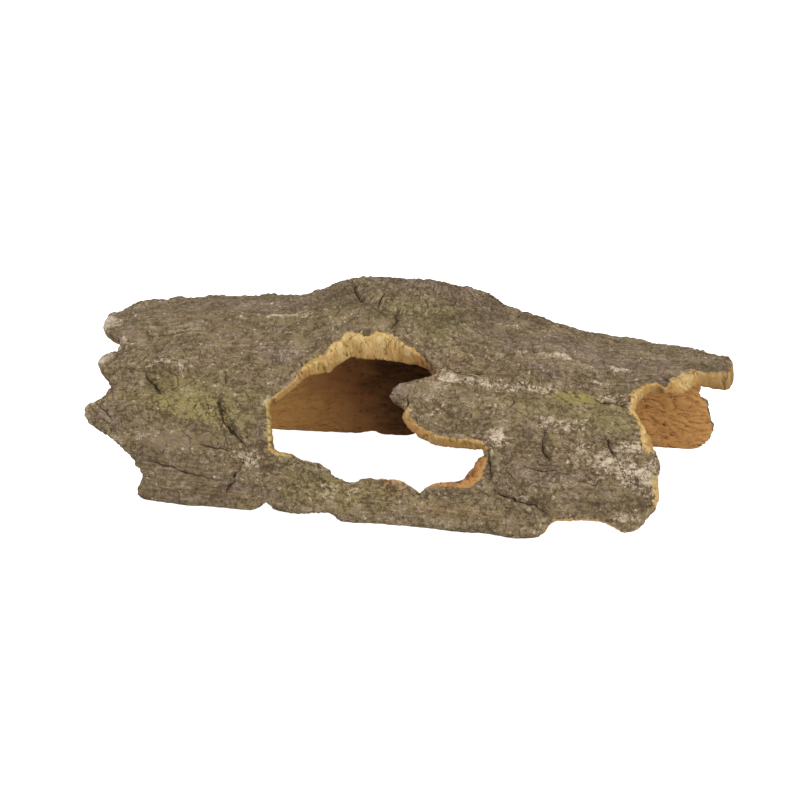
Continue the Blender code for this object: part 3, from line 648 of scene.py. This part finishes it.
class Number:
    """A number in a node tree. Arithmetic on it adds Math nodes."""

    def __init__(self, graph, socket):
        self.graph, self.socket = graph, socket

    def math(self, operation, *others):
        made = self.graph.node("ShaderNodeMath", {"operation": operation}, dict(enumerate((self, *others))))
        return Number(self.graph, made.outputs[0])

    def __add__(self, other):
        return self.math("ADD", other)

    def __sub__(self, other):
        return self.math("SUBTRACT", other)

    def __rsub__(self, other):
        return self.math("MULTIPLY_ADD", -1, other)

    def __mul__(self, other):
        return self.math("MULTIPLY", other)

    def __abs__(self):
        return self.math("ABSOLUTE")

    __radd__, __rmul__ = __add__, __mul__

    def larger(self, other):
        return self.math("MAXIMUM", other)

    def step(self, low, high):
        """0 below low and 1 above high, with a soft step between."""
        settings = {"interpolation_type": "SMOOTHSTEP"}
        made = self.graph.node("ShaderNodeMapRange", settings, {"Value": self, "From Min": low, "From Max": high})
        return Number(self.graph, made.outputs[0])


class Graph:
    """A material's node tree, built from expressions."""

    def __init__(self, tree):
        self.tree = tree
        tree.nodes.clear()

    def node(self, kind, settings, sockets):
        """A node of this type, with its settings set first and then its sockets' values or links."""
        made = self.tree.nodes.new(kind)
        for name, value in settings.items():
            setattr(made, name, value)
        for name, value in sockets.items():
            socket = made.inputs[name]
            if isinstance(value, Number):
                value = value.socket
            if isinstance(value, bpy.types.NodeSocket):
                self.tree.links.new(value, socket)
            else:
                socket.default_value = value
        return made

    def mix(self, first, second, factor):
        """Two colours mixed, as much of the second as the factor says."""
        made = self.node("ShaderNodeMix", {"data_type": "RGBA"}, {0: factor, 6: first, 7: second})
        return made.outputs[2]

    def stretched(self, vector, scale):
        """A vector with its three parts multiplied."""
        return self.node("ShaderNodeVectorMath", {"operation": "MULTIPLY"}, {0: vector, 1: scale}).outputs[0]

    def bent(self, vector, amount, scale):
        """A vector pushed to and fro by noise, by up to about half the amount."""
        sockets = {"Vector": vector, "Scale": scale, "Detail": 2.0}
        push = self.node("ShaderNodeTexNoise", {}, sockets).outputs["Color"]
        middle = (0.5, 0.5, 0.5)
        centred = self.node("ShaderNodeVectorMath", {"operation": "SUBTRACT"}, {0: push, 1: middle}).outputs[0]
        shift = self.stretched(centred, (amount, amount, amount))
        return self.node("ShaderNodeVectorMath", {"operation": "ADD"}, {0: vector, 1: shift}).outputs[0]

    def noise(self, vector, scale, detail=3.0, roughness=0.55):
        """Soft noise, about 0 to 1, with this many waves to the vector's unit."""
        sockets = {"Vector": vector, "Scale": scale, "Detail": detail, "Roughness": roughness}
        return Number(self, self.node("ShaderNodeTexNoise", {}, sockets).outputs["Fac"])

    def seams(self, vector, scale):
        """Distance to the seam between the nearest two cells."""
        settings = {"feature": "DISTANCE_TO_EDGE"}
        return Number(self, self.node("ShaderNodeTexVoronoi", settings, {"Vector": vector, "Scale": scale}).outputs[0])

    def dots(self, vector, scale, radius, share):
        """1 inside small round dots in this share of the cells."""
        made = self.node("ShaderNodeTexVoronoi", {}, {"Vector": vector, "Scale": scale})
        chosen = self.node("ShaderNodeSeparateColor", {}, {0: made.outputs["Color"]}).outputs[0]
        near = 1 - Number(self, made.outputs["Distance"]).step(0.6 * radius, radius)
        return near * Number(self, chosen).step(1 - share, 1.02 - share)

    def place(self):
        """Where each point is, in metres."""
        return self.node("ShaderNodeTexCoord", {}, {}).outputs["Object"]

    def stored(self, name):
        """A vector that each vertex stores."""
        return self.node("ShaderNodeAttribute", {"attribute_name": name}, {}).outputs["Vector"]

    def parts(self, name):
        """The three numbers of a stored vector."""
        made = self.node("ShaderNodeSeparateXYZ", {}, {0: self.stored(name)})
        return [Number(self, socket) for socket in made.outputs]


def outer_bark(graph, settings):
    """(colour, height) of the outer bark."""
    sheet, grain, place = graph.stored("sheet"), graph.stored("grain"), graph.place()
    _, _, texture = graph.parts("grain")
    tone, _, _ = graph.parts("wall")
    green, yellow, rust = graph.parts("algae")
    pale, violet, _ = graph.parts("wear")
    crack_side, crack_strength, knot = graph.parts("crack")
    _, _, darkened = graph.parts("depth")
    smooth, stringy = texture.larger(0), (texture * -1).larger(0)
    rough_share = 1 - smooth * 0.6

    speckle = graph.noise(place, 520, 4, 0.75)
    blotch = graph.noise(place, 90, 3)
    tint = graph.noise(place, 240, 3, 0.6)
    patchy = graph.noise(place, 150, 2)
    dashes = graph.noise(graph.stretched(grain, (0.22, 0.95, 0)), 1.0, 3, 0.6)
    lines = graph.noise(graph.stretched(grain, (0.05, 0.85, 0)), 1.0, 3, 0.6)
    dark_strokes = (1 - abs(graph.noise(place, 300, 2, 0.6) - 0.5).step(0.005, 0.036)) * patchy.step(0.43, 0.53)
    light_strokes = (1 - abs(graph.noise(place, 270, 2, 0.6) - 0.5).step(0.004, 0.03)) * (1 - patchy.step(0.46, 0.56))
    bent_sheet = graph.bent(graph.stretched(sheet, (1, 1, 0)), 2.2, 0.45)
    scale_seam = 1 - graph.seams(graph.stretched(bent_sheet, (0.36, 0.52, 0)), 1.0).step(0.0, 0.12)
    large_seam = graph.seams(graph.stretched(bent_sheet, (0.11, 0.15, 0)), 1.0)
    large_seam = (1 - large_seam.step(0.004, 0.026)) * blotch.step(0.40, 0.52) * (1 - stringy)
    pits = graph.dots(graph.bent(place, 0.001, 700), 330, 0.34, 0.14)

    lit = tone + rough_share * 1.48 * (speckle - 0.5) + (0.6 + 0.9 * knot) * (dashes - 0.5)
    lit = lit + (0.3 + 1.1 * stringy) * (lines - 0.5) + 0.85 * (blotch - 0.5) + 0.3 * (tint - 0.5)
    lit = lit + rough_share * (0.4 * light_strokes - 0.44 * dark_strokes)
    lit = lit - rough_share * (0.26 * scale_seam * (1 - stringy) * tint.step(0.44, 0.56) + 0.3 * pits)
    colour = graph.mix(settings.bark_colour, settings.violet_colour, tint.step(0.5, 0.66) * 0.4)
    colour = graph.mix(colour, settings.violet_colour, violet * 0.8)
    colour = graph.mix(colour, settings.green_colour, green.larger((1 - tint.step(0.34, 0.48)) * 0.5) * 0.8)
    colour = graph.mix(colour, settings.rust_colour, rust * speckle.step(0.35, 0.6) * 0.7)
    colour = graph.mix(colour, settings.yellow_colour, yellow * (lit + 0.3).step(0.2, 0.7))
    colour = graph.mix(colour, settings.crevice_colour, (1 - lit.step(0.1, 0.46)) * 0.88)
    colour = graph.mix(colour, settings.worn_colour, lit.step(0.5, 0.88) * (1 - yellow) * 0.85)
    # Darkens the bark in the dark areas towards the crevices' colour
    colour = graph.mix(colour, settings.crevice_colour, darkened * DARKENING_SHARE)
    chalk = (pale * 0.5 + (blotch - 0.5) * 0.8 + (lit - 0.5) * 1.1).step(0.1, 1.0) * pale.step(0.0, 0.4) * 0.9
    flecks = graph.dots(graph.bent(place, 0.0006, 900), 400, 0.34, 0.2) * (lit + 0.2 * pale).step(0.4, 0.58)
    colour = graph.mix(colour, settings.pale_colour, chalk.larger(flecks * 0.7))
    crack = (1 - abs(crack_side).step(0.25, 0.9)) * crack_strength
    dark = crack.larger(large_seam * 0.55)
    colour = graph.mix(colour, settings.crack_colour, dark * 0.9)
    return colour, lit * 0.6 - dark * 0.7


def fresh_break(graph, settings):
    """(colour, height) of the fresh breaks, which go from straw through ochre to the brown of the inside."""
    sheet, place = graph.stored("sheet"), graph.place()
    tone, _, _ = graph.parts("wall")
    _, yellow, _ = graph.parts("algae")
    _, _, layer = graph.parts("sheet")
    _, _, paleness = graph.parts("wear")
    _, _, darkened = graph.parts("depth")
    fibre = graph.noise(graph.stretched(sheet, (0.62, 0.62, 0.9)), 1.0, 3, 0.6)
    split = graph.noise(graph.stretched(sheet, (0.34, 0.34, 0.7)), 1.0, 2, 0.5)
    grit = graph.noise(place, 620, 3, 0.7)
    patch = graph.noise(place, 130, 3, 0.6)
    slit = (1 - abs(split - 0.5).step(0.004, 0.032)) * patch.step(0.40, 0.54)
    lit = tone + 1.9 * (fibre - 0.5) + 0.7 * (grit - 0.5) - 0.4 * slit
    pale = paleness + 2.0 * (patch - 0.5) - 0.6 * (layer - 0.4) + 0.5 * (lit - 0.5)
    colour = graph.mix(settings.streak_colour, settings.wood_colour, pale.step(-1.0, -0.2))
    colour = graph.mix(colour, settings.ochre_colour, pale.step(-0.5, 0.2))
    colour = graph.mix(colour, settings.straw_colour, pale.step(0.35, 0.95))
    colour = graph.mix(colour, settings.yellow_colour, yellow * 0.85)
    colour = graph.mix(colour, settings.fibre_colour, lit.step(0.52, 0.95) * pale.step(0.1, 0.7) * 0.5)
    colour = graph.mix(colour, settings.salmon_colour, layer.step(0.88, 0.98) * pale.step(-0.3, 0.3) * 0.5)
    colour = graph.mix(colour, settings.streak_colour, (1 - lit.step(0.05, 0.42)) * 0.75)
    # Darkens the breaks in the same dark areas towards the crevices' colour
    colour = graph.mix(colour, settings.crevice_colour, darkened * DARKENING_SHARE)
    return colour, lit * 0.8


def woody_inside(graph, settings):
    """(colour, height) of the woody inside, with painted shade in the hollow's middle and painted light at its two
    ends.
    """
    sheet, place = graph.stored("sheet"), graph.place()
    tone, _, _ = graph.parts("wall")
    painted_shade, painted_light, _ = graph.parts("depth")
    winding = graph.bent(graph.stretched(sheet, (0.7, 1.0, 0)), 10.0, 0.10)
    streak = graph.noise(graph.stretched(winding, (0.17, 0.42, 0)), 1.0, 2, 0.45)
    groove = 1 - abs(streak - 0.5).step(0.008, 0.07)
    # The painted light's mask also gives the two ends more grooves and flecks of the grain
    side_streak = graph.noise(graph.stretched(winding, (0.3, 0.34, 0)), 1.0, 1)
    side_groove = (1 - abs(side_streak - 0.5).step(0.008, 0.06)) * painted_light
    mottle = graph.noise(graph.stretched(sheet, (0.09, 0.3, 0)), 1.0, 3, 0.6)
    speckle = graph.noise(place, 640, 3, 0.7)
    lit = tone + 0.9 * (streak - 0.5) + 0.9 * (mottle - 0.5) + 0.7 * (speckle - 0.5)
    lit = lit - (0.15 + 0.1 * painted_light) * groove - 0.16 * side_groove
    # Painted light: the wood made lighter and golden at the hollow's two ends
    colour = graph.mix(settings.streak_colour, settings.wood_colour, (lit + 0.24 * painted_light).step(0.0, 0.46))
    colour = graph.mix(colour, settings.ochre_colour, lit.step(0.46, 0.84) * 0.9)
    colour = graph.mix(colour, settings.painted_light_colour, painted_light * (lit + 0.1).step(0.12, 0.66) * 0.9)
    flecks = graph.dots(place, 300, 0.26, 0.1)
    colour = graph.mix(colour, settings.fibre_colour, flecks * (0.25 + 0.35 * painted_light))
    # Painted shade: the middle of the hollow darkened nearly black
    return graph.mix(colour, settings.painted_shade_colour, painted_shade * (1.1 - 0.5 * lit)), lit * 0.8


def bark_material(settings):
    """Outer bark, fresh breaks and woody inside, told apart by what each vertex stores."""
    material = bpy.data.materials.new("weathered_bark")
    material.use_nodes = True
    graph = Graph(material.node_tree)
    _, fresh, inside = graph.parts("wall")
    colour, height = outer_bark(graph, settings)
    wood_colour, wood_height = woody_inside(graph, settings)
    fresh_colour, fresh_height = fresh_break(graph, settings)
    frayed = graph.noise(graph.stretched(graph.stored("sheet"), (0.85, 0.35, 1.0)), 1.0, 3, 0.7) - 0.5
    patchy = graph.noise(graph.place(), 150, 2) - 0.5
    inside_share, fresh_share = inside.step(0.3, 0.7), (fresh + 1.3 * frayed + 0.9 * patchy).step(0.35, 0.6)
    colour = graph.mix(colour, wood_colour, inside_share)
    colour = graph.mix(colour, fresh_colour, fresh_share)
    height = height * (1 - inside_share) + wood_height * inside_share
    height = height * (1 - fresh_share) + fresh_height * fresh_share
    bump = graph.node("ShaderNodeBump", {}, {"Strength": 0.7, "Distance": 0.0009, "Height": height})
    shader = graph.node("ShaderNodeBsdfPrincipled", {}, {
        "Base Color": colour,
        "Roughness": 0.88,
        "Specular IOR Level": 0.22,
        "Normal": bump.outputs[0],
    })
    graph.node("ShaderNodeOutputMaterial", {}, {"Surface": shader.outputs[0]})
    return material


class HIDE_OT_weathered_bark(bpy.types.Operator):
    """Dress the solid: outer bark, broken edges and woody inside in one piece"""

    bl_idname = "bark_hide.weathered_bark"
    bl_label = "Weathered Bark"

    def execute(self, context):
        settings = context.scene.bark_hide_bark
        bark = copied_solid("weathered_bark")
        trees = wall_faces(bark.data)
        apply_modifier(bark, "SUBSURF", levels=2, render_levels=2)
        cell = settings.cell
        apply_modifier(bark, "REMESH", mode="VOXEL", voxel_size=cell)
        roughen(bark, trees, settings)
        bark.data.calc_loop_triangles()
        ratio = min(1, settings.most_triangles / len(bark.data.loop_triangles))
        apply_modifier(bark, "DECIMATE", ratio=ratio)
        bark.data.shade_smooth()
        bark.data.materials.append(bark_material(settings))
        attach(bark, "root")
        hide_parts("bark_hide")
        return {"FINISHED"}


def direction(azimuth, elevation):
    """From the hide towards something at this azimuth and elevation."""
    flat = math.cos(elevation)
    return Vector((math.sin(azimuth) * flat, -math.cos(azimuth) * flat, math.sin(elevation)))


def aimed(location, target):
    """The turn that points a camera or a light from location at target."""
    return (target - location).to_track_quat("-Z", "Y").to_euler()


def floor_material(settings):
    """Plain pale floor. Its glow is for the camera alone, so that it lights nothing."""
    material = bpy.data.materials.new("pale_floor")
    material.use_nodes = True
    graph = Graph(material.node_tree)
    seen = graph.node("ShaderNodeLightPath", {}, {}).outputs["Is Camera Ray"]
    plain = graph.node("ShaderNodeBsdfDiffuse", {}, {"Color": settings.floor_colour})
    glow = graph.node("ShaderNodeEmission", {}, {"Strength": settings.floor_glow})
    both = graph.node("ShaderNodeAddShader", {}, {0: plain.outputs[0], 1: glow.outputs[0]})
    floor = graph.node("ShaderNodeMixShader", {}, {0: seen, 1: plain.outputs[0], 2: both.outputs[0]})
    graph.node("ShaderNodeOutputMaterial", {}, {"Surface": floor.outputs[0]})
    return material


def even_sky(settings):
    """Even light from all round, which the camera sees as white."""
    world = bpy.data.worlds.new("even_sky")
    world.use_nodes = True
    graph = Graph(world.node_tree)
    seen = graph.node("ShaderNodeLightPath", {}, {}).outputs["Is Camera Ray"]
    light, white = (
        graph.node("ShaderNodeBackground", {}, {"Color": (1, 1, 1, 1), "Strength": strength}).outputs[0]
        for strength in (settings.sky_strength, 1)
    )
    both = graph.node("ShaderNodeMixShader", {}, {0: seen, 1: light, 2: white})
    graph.node("ShaderNodeOutputWorld", {}, {"Surface": both.outputs[0]})
    return world


def soft_light(name, azimuth, elevation, distance, size, power):
    """A large square light that faces the hide."""
    location = LIT_POINT + direction(math.radians(azimuth), math.radians(elevation)) * distance
    bpy.ops.object.light_add(type="AREA", location=location, rotation=aimed(location, LIT_POINT))
    light = bpy.context.object
    light.name = name
    light.data.size = size
    light.data.energy = power


class HIDE_OT_stage(bpy.types.Operator):
    """Set the pale floor, the soft lights and the camera"""

    bl_idname = "bark_hide.stage"
    bl_label = "Stage"

    def execute(self, context):
        settings = context.scene.bark_hide_stage
        deselect_all()
        bpy.ops.mesh.primitive_plane_add(size=settings.floor_size, location=(0, 0, 0))
        floor = context.object
        floor.name = "pale_floor"
        floor.data.materials.append(floor_material(settings))

        context.scene.world = even_sky(settings)
        soft_light("left", -50, 7, 1.4, 0.5, settings.left_power)
        soft_light("right", 46, 20, 1.4, 0.8, settings.right_power)
        soft_light("top", -10, 72, 1.4, 1.2, settings.top_power)
        soft_light("back", 200, 24, 1.4, 1.0, settings.back_power)

        target = Vector(settings.look_at)
        location = target + direction(settings.azimuth, settings.elevation) * settings.distance
        bpy.ops.object.camera_add(location=location, rotation=aimed(location, target))
        context.object.name = "photo_camera"
        context.object.data.lens = settings.lens
        context.object.data.sensor_width = FULL_FRAME
        context.scene.camera = context.object
        context.scene.view_settings.view_transform = "Standard"
        return {"FINISHED"}


class HIDE_PT_sidebar(bpy.types.Panel):
    """Lists the pieces and their settings"""

    bl_idname = "HIDE_PT_sidebar"
    bl_label = "Bark Hide"
    bl_space_type = "VIEW_3D"
    bl_region_type = "UI"
    bl_category = "Bark Hide"

    def draw(self, context):
        for operator, settings in (
            (HIDE_OT_weathered_bark, context.scene.bark_hide_bark),
            (HIDE_OT_stage, context.scene.bark_hide_stage),
        ):
            box = self.layout.box()
            box.operator(operator.bl_idname)
            for name in settings.__annotations__:
                box.prop(settings, name)


CLASSES = (BarkSettings, StageSettings, HIDE_OT_weathered_bark, HIDE_OT_stage, HIDE_PT_sidebar)


def register():
    """Adds the settings, the operators and the panel."""
    for cls in CLASSES:
        bpy.utils.register_class(cls)
    bpy.types.Scene.bark_hide_bark = PointerProperty(type=BarkSettings)
    bpy.types.Scene.bark_hide_stage = PointerProperty(type=StageSettings)


def unregister():
    """Takes them away again."""
    del bpy.types.Scene.bark_hide_stage
    del bpy.types.Scene.bark_hide_bark
    for cls in reversed(CLASSES):
        bpy.utils.unregister_class(cls)


def main():
    register()
    bpy.ops.bark_hide.weathered_bark()
    bpy.ops.bark_hide.stage()


if __name__ == "__main__":
    main()
